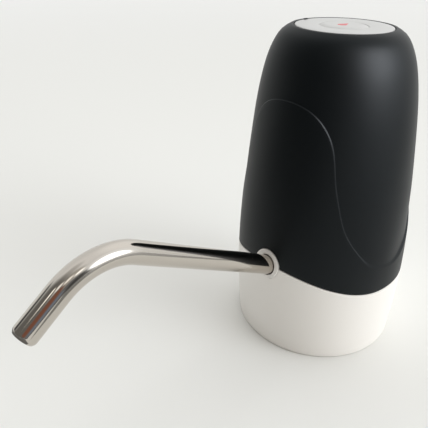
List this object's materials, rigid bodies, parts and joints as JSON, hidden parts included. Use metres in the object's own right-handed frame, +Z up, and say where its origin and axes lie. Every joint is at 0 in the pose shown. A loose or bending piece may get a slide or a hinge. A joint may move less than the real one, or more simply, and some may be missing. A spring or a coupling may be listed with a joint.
{
  "type": "bottled water pump",
  "caption": "Upright battery pump that sits on a large bottle's neck: matt dome over a pale base, bent steel spout rising from a collar, push button on top.",
  "frame": {"origin": "on the body's upright axis at the standing plane, in the mouth of the socket for the bottle's neck", "axes": "+Z up the body's axis, the spout points to -Y, the charging socket to +Y"},
  "size_m": [0.0754, 0.1804, 0.1365],
  "materials": {
    "shell_black": "soft matt",
    "base_white": "satin",
    "plate_grey": "satin",
    "mark_red": "printed",
    "polished_steel": "polished stainless steel",
    "collar_white": "satin",
    "frame_white": "moulded",
    "seal_black": "matt",
    "gasket_grey": "matt",
    "silicone_clear": "milky",
    "screw_steel": "zinc plated",
    "pump_plastic": "moulded",
    "gear_plastic": "moulded",
    "motor_steel": "zinc plated",
    "magnet_black": "sintered",
    "core_iron": "stamped",
    "bronze": "sintered bronze",
    "cap_plastic": "moulded",
    "cell_sleeve": "plastic sleeve",
    "nickel": "nickel strip",
    "board_green": "solder mask",
    "switch_black": "moulded",
    "plunger_brown": "moulded",
    "led_clear": "clear",
    "lens_smoke": "smoked",
    "wire_red": "insulated",
    "wire_black": "insulated"
  },
  "bodies": {
    "root": {"outer_shell": "shell_black", "base_shell": "base_white", "neck_skirt": "frame_white", "neck_gasket": "gasket_grey", "skirt_screws": "screw_steel", "spout_socket": "collar_white", "socket_screws": "screw_steel", "spout_o_rings": "seal_black", "outlet_hose": "silicone_clear", "pump_body": "pump_plastic", "pump_cover": "pump_plastic", "idler_pin": "screw_steel", "shaft_seal": "seal_black", "pump_screws": "screw_steel", "motor_can": "motor_steel", "motor_magnets": "magnet_black", "motor_bushings": "bronze", "motor_end_cap": "cap_plastic", "battery_cell": "cell_sleeve", "battery_contacts": "nickel", "inner_frame": "frame_white", "frame_screws": "screw_steel", "charge_board": "board_green", "charge_socket": "nickel", "charge_screws": "screw_steel", "button_board": "board_green", "board_screws": "screw_steel", "tact_switch": "switch_black", "status_led": "led_clear", "indicator_lens": "lens_smoke", "top_plate": "plate_grey", "motor_leads": "wire_red", "charge_leads": "wire_black", "battery_leads": "wire_red"},
    "spout": {"spout_tube": "polished_steel"},
    "button": {"push_button": "plate_grey", "button_mark": "mark_red", "switch_plunger": "plunger_brown"},
    "rotor": {"motor_armature": "core_iron", "drive_gear": "gear_plastic"},
    "idler": {"idler_gear": "gear_plastic"}
  },
  "joints": [
    {"name": "spout_turn", "type": "hinge", "parent": "root", "child": "spout", "pos_m": [0, -0.03778, 0.04194], "axis": [0, -0.8746, 0.4848], "continuous": true},
    {"name": "button_press", "type": "slide", "parent": "root", "child": "button", "axis": [0, 0, -1], "range_m": [0, 0.001], "stiffness_N_per_m": 1500, "springref_m": -0.0003},
    {"name": "rotor_spin", "type": "hinge", "parent": "root", "child": "rotor", "pos_m": [-0.00508, 0.002, 0.05], "axis": [0, 0, 1], "continuous": true},
    {"name": "idler_spin", "type": "hinge", "parent": "root", "child": "idler", "pos_m": [0.00508, 0.002, 0.037], "axis": [0, 0, 1], "continuous": true}
  ],
  "couplings": [
    {"joint": "idler_spin", "follows": "rotor_spin", "ratio": -1}
  ]
}
